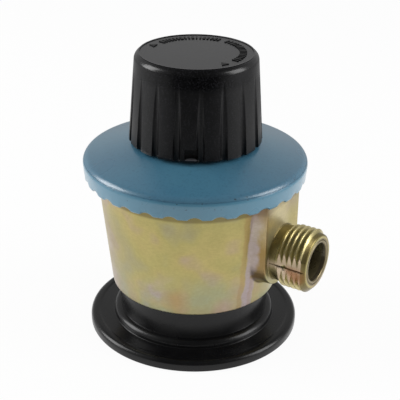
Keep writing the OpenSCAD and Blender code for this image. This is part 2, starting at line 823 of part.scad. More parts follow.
// Half section of the diaphragm: clamped centre, disc, rolled edge and clamped bead.
module diaphragm() {
  t = diaphragm_t;
  roll_z = dia_z - roll_h;
  disc_r = hook_in - roll_ease;
  bead_top = rim_top + bead_t;
  color([0.1, 0.1, 0.1]) rotate_extrude() polygon([
    [guide_out, dia_z - centre_drop], [guide_out + centre_w, dia_z - centre_drop], [disc_r, dia_z],
    [plate_out, dia_z], [plate_out + roll_in, roll_z], [land_r - roll_w, roll_z],
    [land_r - roll_ease, rim_top + eps], [land_r, rim_top], [rim_r, rim_top], [rim_r, bead_top],
    [land_r, bead_top], [land_r - roll_w/2, rim_top + t], [land_r - roll_w - roll_ease, roll_z + t],
    [plate_out + roll_in + roll_ease, roll_z + t], [plate_out + roll_ease, dia_z + t],
    [disc_r, dia_z + t], [guide_out + centre_w, nut_z], [guide_out, nut_z]]);
}

module diaphragm_plate() {
  z = dia_z + diaphragm_t;
  color([0.72, 0.72, 0.74]) rotate_extrude() polygon([
    [plate_in, z], [plate_out - 2*plate_lip, z], [plate_out, z + plate_lip],
    [plate_out - plate_lip, z + plate_t + plate_lip], [plate_out - 3*plate_lip, z + plate_t],
    [plate_in, z + plate_t]]);
}

// Ring under the diaphragm with a groove that the lever's fork rides in.
module hook_ring() {
  low = lever_z - fork_gap/2 - hook_flange_t;
  gap_low = low + hook_flange_t;
  gap_top = gap_low + fork_gap;
  high = gap_top + hook_flange_t;
  tube_r = hook_in + hook_wall;
  plate_z = dia_z - hook_flange_t;
  color([0.8, 0.65, 0.3]) rotate_extrude() polygon([
    [hook_in, low], [hook_out, low], [hook_out, gap_low], [tube_r, gap_low], [tube_r, gap_top],
    [hook_out, gap_top], [hook_out, high], [tube_r, high], [tube_r, plate_z],
    [tube_r + hook_plate_w, plate_z], [tube_r + hook_plate_w, dia_z], [hook_in, dia_z]]);
}

module guide_nut() {
  color([0.8, 0.65, 0.3]) translate([0, 0, nut_z]) difference() {
    cylinder(r = guide_out + centre_w, h = nut_h, $fn = 6);
    translate([0, 0, -over]) cylinder(r = guide_out, h = nut_h + 2*over);
  }
}

// Forked lever: its fork rides in the hook ring, its short end carries the pad.
module valve_lever() {
  y_in = hook_in + hook_wall + fork_play;
  y_out = y_in + fork_w - lever_side;
  plate_x = hook_out + lever_gap;
  low = lever_z - lever_t/2;
  color([0.75, 0.73, 0.68]) difference() {
    union() {
      for (side = [-1, 1]) translate([-lever_arm, side > 0 ? y_in : -y_out, low])
        cube([lever_arm + lever_end, y_out - y_in, lever_t]);
      translate([-valve_x - lever_tail, -y_out, low])
        cube([valve_x + lever_tail - plate_x, 2*y_out, lever_t]);
      translate([-lever_arm, 0, lever_z]) rotate([90, 0, 0])
        cylinder(r = lever_hub_r, h = 2*y_out, center = true);
    }
    translate([-lever_arm, 0, lever_z]) rotate([90, 0, 0])
      cylinder(r = pin_r + run_clear, h = 2*(y_out + over), center = true);
  }
}

module lever_pin() {
  color([0.7, 0.7, 0.72]) translate([-lever_arm, 0, lever_z]) rotate([90, 0, 0])
    cylinder(r = pin_r, h = 2*(ear_in + ear_t), center = true);
}

module seat_pad() {
  color([0.09, 0.09, 0.09]) translate([-valve_x, 0, lever_z - lever_t/2 - pad_h])
    cylinder(r = pad_r, h = pad_h);
}

module valve_nozzle() {
  top = lever_z - lever_t/2 - pad_h - nozzle_gap;
  color([0.8, 0.65, 0.3]) translate([-valve_x, 0, 0]) difference() {
    union() {
      translate([0, 0, web_z + valve_floor]) cylinder(r = valve_thread_r, h = web_t);
      translate([0, 0, web_top]) cylinder(r = nozzle_hex_r, h = nozzle_hex_h, $fn = 6);
      translate([0, 0, web_top]) cylinder(r1 = nozzle_low_r, r2 = nozzle_top_r, h = top - web_top);
    }
    translate([0, 0, web_z]) cylinder(r = nozzle_bore_r, h = top - web_z + over);
  }
}

body_casting();
cover();
knob();
locking_collar();
coupling_body();
collar_sleeve();
retaining_ring();
collar_spring();
lock_ball(1);  // lock_ball_1
lock_ball(2);  // lock_ball_2
lock_ball(3);  // lock_ball_3
lock_ball(4);  // lock_ball_4
lock_ball(5);  // lock_ball_5
lock_ball(6);  // lock_ball_6
inlet_nozzle();
inlet_seal();
inlet_filter();
push_pin();
spindle();
cross_pin();
cam_sleeve();
return_spring();
guide_tube();
spindle_seal();
knob_ring();
spring_housing();
spring_seat();
regulating_spring();
diaphragm();
diaphragm_plate();
hook_ring();
guide_nut();
valve_lever();
lever_pin();
seat_pad();
valve_nozzle();
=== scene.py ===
"""Clip-on gas regulator: fluted knob, crimped enamelled cover, zinc casting, black collar."""
import json
import math

import bmesh
import bpy
from mathutils import Matrix, Vector


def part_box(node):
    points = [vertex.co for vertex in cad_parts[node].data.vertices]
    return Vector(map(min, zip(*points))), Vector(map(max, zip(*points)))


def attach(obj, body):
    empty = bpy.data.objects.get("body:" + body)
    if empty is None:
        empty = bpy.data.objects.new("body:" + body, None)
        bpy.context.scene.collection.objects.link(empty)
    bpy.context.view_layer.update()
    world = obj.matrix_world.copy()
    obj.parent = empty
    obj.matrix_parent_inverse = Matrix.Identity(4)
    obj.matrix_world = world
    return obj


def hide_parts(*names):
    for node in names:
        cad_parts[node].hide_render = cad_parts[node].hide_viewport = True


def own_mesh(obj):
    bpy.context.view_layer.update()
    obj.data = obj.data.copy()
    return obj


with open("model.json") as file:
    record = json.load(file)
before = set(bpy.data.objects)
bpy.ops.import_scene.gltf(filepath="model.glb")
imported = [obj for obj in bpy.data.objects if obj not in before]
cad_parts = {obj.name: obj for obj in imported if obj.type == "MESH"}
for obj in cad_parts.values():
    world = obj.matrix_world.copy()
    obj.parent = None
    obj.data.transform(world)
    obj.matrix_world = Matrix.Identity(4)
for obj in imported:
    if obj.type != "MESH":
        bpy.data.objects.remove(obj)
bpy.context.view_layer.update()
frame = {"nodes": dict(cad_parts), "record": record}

MM = 0.001
NODES = frame["nodes"]


def box_mm(name):
    """Lowest and highest corner of a CAD node, in millimetres."""
    low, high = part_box(name)
    return low / MM, high / MM


# ---------------------------------------------------------------- sizes, in millimetres

COVER_LOW, COVER_HIGH = box_mm("cover")
KNOB_LOW, KNOB_HIGH = box_mm("knob")
CAST_LOW, CAST_HIGH = box_mm("body_casting")
COLLAR_HIGH = box_mm("locking_collar")[1]
SLEEVE_R = box_mm("collar_sleeve")[1].x
HOUSING_R = box_mm("spring_housing")[1].x

CAST_EDGE_R = 27.95
CAST_DRAFT = math.radians(6.5)
CAST_WALL = 2.4
POCKET_R = 25.75
POCKET_TOP = 30
WALL_FOOT = 34

OUTLET_Z = 35.1
OUTLET_END = CAST_HIGH.x
THREAD_R = 20.955 / 2
THREAD_PITCH = 1.814
THREAD_ROOT_R = 18.631 / 2
THREAD_START = OUTLET_END - 10
CREST_CUT = 0.04
NECK_R = 9.25
BORE_R = 6.3
FLAT_AT = 9.3
BOSS_X = 33.4
BOSS_HALF_W = 11.1
BOSS_DEPTH = 4
BOSS_DRAFT = math.radians(6)

KNOB_R = KNOB_HIGH.y
KNOB_TAPER = math.radians(4.1)
KNOB_ROUND = 2.4
KNOB_WALL = 2.2
GROOVES = 18
GROOVE_R = 1.2
GROOVE_DEPTH = 1.3
GROOVE_DRAFT = math.radians(1)
GROOVE_AT = math.radians(6.2)
SMOOTH_Z = 91.5
FACE_R = 18.2
FACE_DROP = 0.25
WINDOW_AT = math.radians(-61.5)
WINDOW_HALF_W = 2.2
WINDOW_LOW = KNOB_LOW.z + 1.1
WINDOW_HIGH = KNOB_LOW.z + 4.7
WINDOW_DEPTH = 1.9
MARK_R = 14.75
MARK_TALL = 2.3
MARK_WIDE = 0.9
MARK_NARROW = 0.55
MARK_T = 0.5
ARROW_AT = 15.0
ARROW_R = 1.5

COVER_R = COVER_HIGH.y
COVER_T = 1.75
COVER_SLOPE = math.radians(16)
COVER_ROUND = 2.6
CREASE_AT = 26
PLATEAU_R = 20.5
COVER_EDGE_R = COVER_R - COVER_ROUND
COVER_EDGE_Z = (COVER_HIGH.z - COVER_ROUND * math.cos(COVER_SLOPE) - math.tan(COVER_SLOPE)
                * (COVER_EDGE_R + COVER_ROUND * math.sin(COVER_SLOPE) - PLATEAU_R))
CRIMPS = 30
CRIMP_AT = math.radians(2)
BITE_W = 4.6
BITE_H = 1.0
BITE_FADE = 3.2

TUBE_R = 25.55
STEP_R = 27.2
STEP_TOP = 6.1
FLANGE_T = 3.7
DISH_T = 3.5

# ---------------------------------------------------------------- mesh helpers


def arc(centre, radius, start, end, count):
    """Points on an arc, in degrees, both ends included."""
    turn = (end - start) / count
    angles = [math.radians(start + turn * i) for i in range(count + 1)]
    return [(centre[0] + radius * math.cos(a), centre[1] + radius * math.sin(a)) for a in angles]


def rounded(corners, count=6):
    """A closed outline with each corner (x, y, radius) turned into a round one."""
    points = []
    for i, (x, y, radius) in enumerate(corners):
        here = Vector((x, y))
        if radius == 0:
            points.append((x, y))
            continue
        back = (Vector(corners[i - 1][:2]) - here).normalized()
        on = (Vector(corners[(i + 1) % len(corners)][:2]) - here).normalized()
        half = back.angle(on) / 2
        centre = here + (back + on).normalized() * radius / math.sin(half)
        first = here + back * radius / math.tan(half) - centre
        last = here + on * radius / math.tan(half) - centre
        turn = first.angle_signed(last)
        for step in range(count + 1):
            spoke = first.copy()
            spoke.rotate(Matrix.Rotation(-turn * step / count, 2))
            points.append(tuple(centre + spoke))
    return points


def finer(points, longest, closed=True):
    """The outline with its long sides cut so that none is longer than longest."""
    result = []
    pairs = list(zip(points, points[1:] + points[:1]))
    for (x0, y0), (x1, y1) in pairs if closed else pairs[:-1]:
        cuts = max(1, math.ceil(math.hypot(x1 - x0, y1 - y0) / longest))
        result += [(x0 + (x1 - x0) * i / cuts, y0 + (y1 - y0) * i / cuts) for i in range(cuts)]
    return result if closed else result + [points[-1]]


def lathe(outline, steps, closed=True, along="Z"):
    """Spins an outline of (radius, height) in mm about Z, or about X where along says so."""
    bm = bmesh.new()
    verts = [bm.verts.new((r * MM, 0, h * MM)) for r, h in outline]
    ring = list(zip(verts, verts[1:]))
    if closed:
        ring.append((verts[-1], verts[0]))
    edges = [bm.edges.new(pair) for pair in ring]
    doublings = 0
    while steps % 2 == 0 and doublings < 5:
        steps //= 2
        doublings += 1
    sector = 2 * math.pi / 2 ** doublings
    bmesh.ops.spin(bm, geom=verts + edges, cent=(0, 0, 0), axis=(0, 0, 1), angle=sector,
                   steps=steps, use_merge=False)
    for i in range(doublings):
        copy = bmesh.ops.duplicate(bm, geom=bm.verts[:] + bm.edges[:] + bm.faces[:])["geom"]
        bmesh.ops.rotate(bm, cent=(0, 0, 0), matrix=Matrix.Rotation(sector * 2 ** i, 3, "Z"),
                         verts=[g for g in copy if isinstance(g, bmesh.types.BMVert)])
    bmesh.ops.remove_doubles(bm, verts=bm.verts, dist=2e-7)
    bmesh.ops.recalc_face_normals(bm, faces=bm.faces)
    if along == "X":
        bmesh.ops.transform(bm, matrix=Matrix.Rotation(math.pi / 2, 4, "Y"), verts=bm.verts)
    return bm


def finish_piece(name, bm, material, body, slot, replaced=(), sharp=38):
    """Makes the bmesh an object with smooth faces and sharp edges, and ties it to the frame."""
    bmesh.ops.recalc_face_normals(bm, faces=bm.faces)
    if bm.calc_volume(signed=True) < 0:
        bmesh.ops.reverse_faces(bm, faces=bm.faces)
    for face in bm.faces:
        face.smooth = True
    for edge in bm.edges:
        if len(edge.link_faces) == 2 and edge.calc_face_angle() > math.radians(sharp):
            edge.smooth = False
    mesh = bpy.data.meshes.new(name)
    bm.to_mesh(mesh)
    bm.free()
    piece = bpy.data.objects.new(name, mesh)
    bpy.context.collection.objects.link(piece)
    mesh.materials.append(material)
    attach(piece, body)
    if replaced:
        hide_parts(*replaced)
    return piece


def soft_min(a, b, width):
    """The lower of two values, blended over width."""
    h = max(0.0, min(1.0, 0.5 + 0.5 * (b - a) / width))
    return b + (a - b) * h - width * h * (1 - h)


# ---------------------------------------------------------------- materials


def linear(hex_colour):
    """An sRGB hex colour as linear RGBA."""
    parts = [int(hex_colour[i:i + 2], 16) / 255 for i in (1, 3, 5)]
    return [c / 12.92 if c <= 0.04045 else ((c + 0.055) / 1.055) ** 2.4 for c in parts] + [1.0]


def add(tree, kind, inputs=None, stops=(), **settings):
    """Adds a node. inputs maps sockets to values, sockets or nodes; stops colour a ramp."""
    new = tree.nodes.new("ShaderNode" + kind)
    for key, value in settings.items():
        setattr(new, key, value)
    for key, value in (inputs or {}).items():
        if isinstance(value, bpy.types.Node):
            value = next(out for out in value.outputs if out.enabled)
        if isinstance(value, bpy.types.NodeSocket):
            tree.links.new(value, new.inputs[key])
        elif isinstance(value, str):
            new.inputs[key].default_value = linear(value)
        else:
            new.inputs[key].default_value = value
    for i, (place, colour) in enumerate(stops):
        stop = new.color_ramp.elements[i] if i < 2 else new.color_ramp.elements.new(place)
        stop.position, stop.color = place, linear(colour)
    return new


def start_material(name):
    """A new material, its empty tree, and Object coordinates in millimetres."""
    material = bpy.data.materials.new(name)
    material.use_nodes = True
    tree = material.node_tree
    tree.nodes.clear()
    place = add(tree, "TexCoord").outputs["Object"]
    mm = add(tree, "VectorMath", {0: place, 1: (1 / MM, 1 / MM, 1 / MM)}, operation="MULTIPLY")
    return material, tree, mm


def surface(tree, inputs):
    """Ends a material's tree with its shader."""
    add(tree, "OutputMaterial", {"Surface": add(tree, "BsdfPrincipled", inputs)})


def stained(tree, under, colour, amount, limit):
    """A colour laid over another one where amount says so, at most limit of it."""
    part = add(tree, "MapRange", {0: amount, 1: 0.0, 2: 1.0, 3: 0.0, 4: limit})
    return add(tree, "Mix", {0: part, 6: under, 7: colour}, data_type="RGBA")


def spot(tree, mm, centre, radius, soft):
    """1 within radius mm of a place on the object, and 0 from soft mm further out."""
    away = add(tree, "VectorMath", {0: mm, 1: centre}, operation="DISTANCE")
    return add(tree, "MapRange", {0: away, 1: radius + soft, 2: radius, 3: 0.0, 4: 1.0})


def band(tree, value, low, high, soft):
    """1 between low and high, fading to 0 over soft on both sides."""
    up = add(tree, "MapRange", {0: value, 1: low - soft, 2: low, 3: 0.0, 4: 1.0})
    down = add(tree, "MapRange", {0: value, 1: high, 2: high + soft, 3: 1.0, 4: 0.0})
    return add(tree, "Math", {0: up, 1: down}, operation="MULTIPLY")


def film_tint(tree, mm):
    """The chromate film's colour: gold that drifts to grey-green and pink in blotches of 14 mm."""
    broad = add(tree, "TexNoise", {"Vector": mm, "Scale": 1 / 14, "Detail": 2.0, "Roughness": 0.45})
    return add(tree, "ValToRGB", {0: broad}, [
        (0.3, "#AEA67E"), (0.42, "#BAAF70"), (0.54, "#C0B173"), (0.62, "#BCA884"),
        (0.7, "#BCA698")])


def spotted(tree, tint, mm, spots):
    """The tint with round stains on it, each (colour, centre, radius, soft edge, limit), in mm."""
    for colour, centre, radius, soft, limit in spots:
        tint = stained(tree, tint, colour, spot(tree, mm, centre, radius, soft), limit)
    return tint


def casting_film():
    """Yellow-chromated zinc die casting: a satin film whose tint pools near edges and ribs, with
    painted shade under the skirt and on its left side, and a painted highlight on the boss's face.
    """
    material, tree, mm = start_material("yellow_passivated_zinc")
    axes = add(tree, "SeparateXYZ", {0: mm}).outputs
    wander = add(tree, "TexNoise", {"Vector": mm, "Scale": 1 / 5, "Detail": 3.0})
    round_it = add(tree, "Math", {0: axes["Y"], 1: axes["X"]}, operation="ARCTAN2")
    # Degrees round the axis, counted from the boss's corner, with a wandering edge.
    turn = add(tree, "Math", {0: round_it, 1: 180 / math.pi, 2: 19.0}, operation="MULTIPLY_ADD")
    side = add(tree, "Math", {0: wander, 1: 5.0, 2: turn}, operation="MULTIPLY_ADD")
    cloud = add(tree, "TexNoise", {"Vector": mm, "Scale": 1 / 9, "Detail": 2.0})
    wash = add(tree, "ValToRGB", {0: cloud}, [
        (0.3, "#B7A08C"), (0.45, "#B4A87E"), (0.6, "#A3AB8F"), (0.7, "#A9A2B0")])
    low = add(tree, "MapRange", {0: axes["Z"], 1: 34.0, 2: 17.0, 3: 0.0, 4: 1.0})
    tint = stained(tree, film_tint(tree, mm), wash, low, 0.75)
    for colour, start, end, limit in (("#B08A56", -6.0, -3.0, 0.4), ("#9A6E3C", 2.0, 4.2, 0.65),
                                      ("#B6A6AC", -1.8, 1.2, 0.8)):
        tint = stained(tree, tint, colour, band(tree, side, start, end, 1.3), limit)
    foot = add(tree, "Math", {0: band(tree, side, 0.0, 5.5, 1.3),
                              1: band(tree, axes["Z"], 15, 27, 2.0)}, operation="MULTIPLY")
    tint = stained(tree, tint, "#B6A6AC", foot, 0.7)
    # Painted shade: a dark band on the cone round the corner under the crimped skirt, where the
    # skirt's shadow falls.
    under = band(tree, axes["Z"], COVER_LOW.z - 2.5, COVER_LOW.z + 2, 0.8)
    tint = stained(tree, tint, "#54482C", under, 0.6)
    tint = spotted(tree, tint, mm, (
        ("#B08862", (10, -27, 22), 1.5, 4.5, 0.55),
        ("#9DA68E", (19, -21.5, 23), 3, 7.0, 0.45),
        ("#BA9C90", (22.5, -17.5, 18), 1.5, 3.5, 0.6),
        # Painted shade: the next two greyer spots dim the casting's left side.
        ("#A39C92", (-15, -23, 20), 4, 9.0, 0.5),
        ("#A4987A", (-17, -25, 38), 6, 9.0, 0.5),
        ("#9A7F6C", (31, -11, 53), 1.0, 4.0, 0.6),
        ("#A8A092", (33, 8, 55), 3, 7.0, 0.5),
        # Painted highlight: the next pale spot brightens the upper part of the boss's face.
        ("#DCD0A8", (33.4, -4, 47), 4, 6.0, 0.85),
        ("#A9937E", (-24, 19, 30), 4, 9.0, 0.5),
        ("#9BA28F", (4, 31, 38), 4, 9.0, 0.5)))
    fine = add(tree, "TexNoise", {"Vector": mm, "Scale": 1 / 1.1, "Detail": 4.0, "Roughness": 0.6})
    tint = stained(tree, tint, "#8E8052", band(tree, fine, 0.6, 1.0, 0.25), 0.15)
    # Drawn coarser than the real die's fine cross marks, which would be too fine to show.
    flat = add(tree, "VectorMath", {0: mm, 1: (0.35, 0.35, 2.4)}, operation="MULTIPLY")
    grain = add(tree, "TexNoise", {"Vector": flat, "Scale": 1 / 0.55, "Detail": 3.0})
    tint = stained(tree, tint, "#857645", band(tree, grain, 0.58, 1.0, 0.12), 0.1)
    rough = add(tree, "MapRange", {0: wander, 1: 0.3, 2: 0.7, 3: 0.3, 4: 0.42})
    surface(tree, {"Base Color": tint, "Metallic": 0.75, "Roughness": rough, "Normal": add(
        tree, "Bump", {"Height": grain, "Strength": 0.5, "Distance": 0.008 * MM})})
    return material


def thread_film():
    """The same film on the machined outlet: painted highlights on the crests, painted shade (with
    some dirt) in the thread's valleys and on the neck, and a bore painted dark as shade.
    """
    material, tree, mm = start_material("yellow_passivated_thread")
    axes = add(tree, "SeparateXYZ", {0: mm}).outputs
    centred = add(tree, "VectorMath", {0: mm, 1: (0, 1, 1), 2: (0, 0, -OUTLET_Z)},
                  operation="MULTIPLY_ADD")
    out = add(tree, "VectorMath", {0: centred}, operation="LENGTH")
    aside = add(tree, "Math", {0: axes["Y"]}, operation="ABSOLUTE")
    wander = add(tree, "TexNoise", {"Vector": mm, "Scale": 1 / 2.5, "Detail": 3.0})
    # Painted highlight: the crests are painted a pale gold.
    tint = stained(tree, film_tint(tree, mm), "#E6D6A0", band(tree, out, 9.8, 11.0, 0.4), 0.55)
    tint = stained(tree, tint, "#D2BAA6", add(tree, "MapRange", {0: aside, 1: 9.1, 2: 9.25}), 0.75)
    off_flat = add(tree, "MapRange", {0: aside, 1: 9.2, 2: 9.0})
    # Painted shade, partly dirt: the thread's valleys off the flats are darkened.
    deep = band(tree, out, 8.9, 9.7, 0.5)
    root_shade_and_dirt = add(tree, "Math", {0: deep, 1: off_flat}, operation="MULTIPLY")
    tint = stained(tree, tint, "#4A3F20", root_shade_and_dirt, 0.12)
    # Painted shade: the recessed neck between the boss and the thread is darkened.
    neck = band(tree, axes["X"], BOSS_X - 1, THREAD_START - 0.6, 0.5)
    tint = stained(tree, tint, "#66552C", neck, 0.6)
    line = add(tree, "Math", {0: band(tree, axes["Z"], OUTLET_Z - 0.1, OUTLET_Z + 0.1, 0.12),
                              1: band(tree, axes["X"], 34, 45.3, 0.2)}, operation="MULTIPLY")
    tint = stained(tree, tint, "#3A2C18", line, 0.8)
    tint = stained(tree, tint, "#6F6136", band(tree, axes["X"], 45.1, 46.35, 0.15), 0.88)
    tint = stained(tree, tint, "#7C7058", band(tree, out, 6.35, 7.9, 0.1), 0.8)
    tint = spotted(tree, tint, mm, (
        ("#9A5E30", (43.5, -9, 33.2), 1.2, 2.6, 0.75),
        ("#9A6238", (41, -9, 34.6), 0.6, 1.6, 0.6),
        ("#8A5C34", (40, 8, 29), 1.2, 3.0, 0.5)))
    tint = stained(tree, tint, "#6E6038", band(tree, wander, 0.58, 1.0, 0.2), 0.25)
    # Painted shade: the inside of the bore is painted near-black and made less metallic.
    bore = add(tree, "MapRange", {0: out, 1: 6.42, 2: 6.25})
    tint = stained(tree, tint, "#35322C", bore, 1.0)
    metal = add(tree, "MapRange", {0: bore, 3: 0.75, 4: 0.35})
    rough = add(tree, "MapRange", {0: wander, 1: 0.3, 2: 0.7, 3: 0.24, 4: 0.38})
    tooling = add(tree, "TexNoise", {"Vector": mm, "Scale": 1 / 0.5, "Detail": 3.0})
    surface(tree, {"Base Color": tint, "Metallic": metal, "Roughness": rough, "Normal": add(
        tree, "Bump", {"Height": tooling, "Strength": 0.5, "Distance": 0.02 * MM})})
    return material


def blue_enamel():
    """Stoved blue-grey enamel on pressed steel: a slightly pulled paint, chipped along its edge,
    with its skirt painted lighter as a painted reflection.
    """
    material, tree, mm = start_material("blue_grey_enamel")
    drift = add(tree, "TexNoise", {"Vector": mm, "Scale": 1 / 20, "Detail": 2.0})
    tint = add(tree, "ValToRGB", {0: drift}, [(0.3, "#3D6F8A"), (0.7, "#477991")])
    speck = add(tree, "TexNoise", {"Vector": mm, "Scale": 1 / 0.8, "Detail": 2.0})
    tint = stained(tree, tint, "#284A60", band(tree, speck, 0.72, 1.0, 0.2), 0.3)
    height = add(tree, "SeparateXYZ", {0: mm}).outputs["Z"]
    # Painted reflection: the skirt below the rounded edge is painted a lighter blue, as if it
    # mirrored the pale floor.
    skirt = add(tree, "MapRange", {0: height, 1: COVER_EDGE_Z + 1.0, 2: COVER_EDGE_Z + 0.6})
    tint = stained(tree, tint, "#5C95AE", skirt, 0.6)
    flake = add(tree, "TexNoise", {"Vector": mm, "Scale": 1 / 1.6, "Detail": 4.0, "Roughness": 0.7})
    bare = band(tree, flake, 0.66, 1.0, 0.02)
    edge = band(tree, height, COVER_EDGE_Z - 1.2, COVER_EDGE_Z + 1.6, 0.3)
    chips = add(tree, "Math", {0: bare, 1: edge}, operation="MULTIPLY")
    tint = stained(tree, tint, "#1E2A30", chips, 0.9)
    rough = add(tree, "MapRange", {0: drift, 1: 0.3, 2: 0.7, 3: 0.26, 4: 0.34})
    pulled = add(tree, "VectorMath", {0: mm, 1: (1.0, 1.0, 3.0)}, operation="MULTIPLY")
    wave = add(tree, "TexNoise", {"Vector": pulled, "Scale": 1 / 0.9, "Detail": 2.0})
    surface(tree, {"Base Color": tint, "Roughness": rough, "Coat Weight": 0.8,
                   "Coat Roughness": 0.28, "Normal": add(
                       tree, "Bump", {"Height": wave, "Strength": 0.8, "Distance": 0.03 * MM})})
    return material


def black_abs():
    """Black moulded ABS: a fine spark-eroded grain, polished shoulder, a face painted grey as a
    sheen, and a painted highlight on the window's sill.
    """
    material, tree, mm = start_material("black_moulded_abs")
    drift = add(tree, "TexNoise", {"Vector": mm, "Scale": 1 / 6, "Detail": 3.0})
    tint = add(tree, "ValToRGB", {0: drift}, [(0.3, "#030304"), (0.7, "#0C0C0E")])
    height = add(tree, "SeparateXYZ", {0: mm}).outputs["Z"]
    # Painted sheen: the face is painted a lighter grey, standing in for the light it mirrors.
    top = band(tree, height, KNOB_HIGH.z - FACE_DROP - 0.05, KNOB_HIGH.z + 1, 0.1)
    tint = stained(tree, tint, "#161618", top, 0.8)
    # Painted highlight: the window's sill is a thin pale line, standing in for light caught on its
    # edge.
    sill = (KNOB_R * math.cos(WINDOW_AT), KNOB_R * math.sin(WINDOW_AT), KNOB_LOW.z + 1)
    line = band(tree, height, KNOB_LOW.z + 0.84, KNOB_LOW.z + 0.96, 0.06)
    sill_glint = add(tree, "Math", {0: line, 1: spot(tree, mm, sill, 1.7, 0.3)}, operation="MULTIPLY")
    tint = stained(tree, tint, "#6A6A6E", sill_glint, 0.7)
    grain = add(tree, "TexNoise", {"Vector": mm, "Scale": 1 / 0.5, "Detail": 4.0,
                                   "Roughness": 0.65})
    tint = stained(tree, tint, "#2E2E32", band(tree, grain, 0.6, 1.0, 0.06), 0.4)
    rough = add(tree, "MapRange", {0: height, 1: SMOOTH_Z - 2, 2: SMOOTH_Z, 3: 0.36, 4: 0.24})
    coarse = add(tree, "MapRange", {0: height, 1: SMOOTH_Z - 2, 2: SMOOTH_Z, 3: 0.9, 4: 0.2})
    surface(tree, {"Base Color": tint, "Roughness": rough, "Specular IOR Level": 0.4,
                   "Normal": add(tree, "Bump", {"Height": grain, "Strength": coarse,
                                                "Distance": 0.025 * MM})})
    return material


def black_marks():
    """The same ABS polished in the mould, so the raised marks read darker than the grained face."""
    material, tree, mm = start_material("black_polished_abs")
    drift = add(tree, "TexNoise", {"Vector": mm, "Scale": 1 / 4, "Detail": 2.0})
    tint = add(tree, "ValToRGB", {0: drift}, [(0.3, "#050506"), (0.7, "#09090A")])
    surface(tree, {"Base Color": tint, "Roughness": 0.3, "Specular IOR Level": 0.1})
    return material


def black_collar():
    """Black stoved lacquer on the die-cast collar: glossy, with a faint orange peel."""
    material, tree, mm = start_material("black_stoved_lacquer")
    drift = add(tree, "TexNoise", {"Vector": mm, "Scale": 1 / 9, "Detail": 3.0})
    tint = add(tree, "ValToRGB", {0: drift}, [(0.3, "#0A0A0B"), (0.7, "#111112")])
    rough = add(tree, "MapRange", {0: drift, 1: 0.3, 2: 0.7, 3: 0.2, 4: 0.3})
    peel = add(tree, "TexNoise", {"Vector": mm, "Scale": 1 / 0.9, "Detail": 3.0})
    surface(tree, {"Base Color": tint, "Roughness": rough, "Specular IOR Level": 0.33,
                   "Normal": add(tree, "Bump", {"Height": peel, "Strength": 0.5,
                                                "Distance": 0.015 * MM})})
    return material


def turned_metal(name, low, high, roughness):
    """Turned or drawn metal with fine rings about the axis, for the pieces seen from below."""
    material, tree, mm = start_material(name)
    drift = add(tree, "TexNoise", {"Vector": mm, "Scale": 1 / 3, "Detail": 3.0})
    tint = add(tree, "ValToRGB", {0: drift}, [(0.3, low), (0.7, high)])
    ring = add(tree, "TexWave", {"Vector": mm, "Scale": 1.2, "Distortion": 0.4}, wave_type="RINGS",
               rings_direction="Z")
    surface(tree, {"Base Color": tint, "Metallic": 1.0, "Roughness": roughness, "Normal": add(
        tree, "Bump", {"Height": ring, "Strength": 0.4, "Distance": 0.01 * MM})})
    return material


def black_rubber():
    """Nitrile rubber: dull black with a faint bloom."""
    material, tree, mm = start_material("nitrile_rubber")
    bloom = add(tree, "TexNoise", {"Vector": mm, "Scale": 1 / 2, "Detail": 4.0})
    tint = add(tree, "ValToRGB", {0: bloom}, [(0.35, "#151515"), (0.75, "#242424")])
    fine = add(tree, "TexNoise", {"Vector": mm, "Scale": 1 / 0.3, "Detail": 2.0})
    surface(tree, {"Base Color": tint, "Roughness": 0.6, "Normal": add(
        tree, "Bump", {"Height": fine, "Strength": 0.4, "Distance": 0.01 * MM})})
    return material


ZINC = casting_film()
THREAD_ZINC = thread_film()
ENAMEL = blue_enamel()
ABS = black_abs()
MARKS = black_marks()
LACQUER = black_collar()
SLOT_FINISH = {
    "casting_zinc": ZINC,
    "cover_paint": ENAMEL,
    "knob_plastic": ABS,
    "collar_black": LACQUER,
    "steel": turned_metal("zinc_plated_steel", "#A9ABAE", "#C2C4C6", 0.28),
    "spring_steel": turned_metal("drawn_spring_steel", "#8D8F92", "#A8AAAC", 0.34),
    "brass": turned_metal("turned_brass", "#B99A54", "#CDB06A", 0.27),
    "plain_zinc": turned_metal("plain_die_cast_zinc", "#9C9A94", "#B2B0A9", 0.42),
    "sintered_bronze": turned_metal("sintered_bronze", "#7F6A43", "#9C8557", 0.6),
    "rubber": black_rubber(),
}

# ---------------------------------------------------------------- casting


def cone_r(z):
    """Outer radius of the casting's cone."""
    return CAST_EDGE_R + math.tan(CAST_DRAFT) * (z - CAST_LOW.z)


def casting_cone():
    """The drafted cone with its rounded lower edge and the pocket that the collar lifts into."""
    top = COVER_LOW.z + COVER_T
    low = CAST_LOW.z
    outline = rounded([(POCKET_R, low, 0.3), (cone_r(low), low, 0.8), (cone_r(top), top, 0),
                       (cone_r(top) - CAST_WALL, top, 0),
                       (cone_r(WALL_FOOT) - CAST_WALL, WALL_FOOT, 0), (POCKET_R, POCKET_TOP, 0)])
    return lathe(finer(outline, 4), 240)


def boss_ring(out, x_of):
    """The boss's outline grown by out, as (x, y, z), with x from x_of(y, z)."""
    w = BOSS_HALF_W + out
    top = COVER_LOW.z + 0.6  # tucked under the crimped skirt
    down = [(-w, top + (OUTLET_Z - top) * i / 16) for i in range(16)]
    bottom = arc((0, OUTLET_Z), w, 180, 360, 40)
    up = [(w, OUTLET_Z + (top - OUTLET_Z) * i / 16) for i in range(1, 17)]
    across = [(w - 2 * w * i / 12, top) for i in range(1, 12)]
    return [(x_of(y, z), y, z) for y, z in down + bottom + up + across]


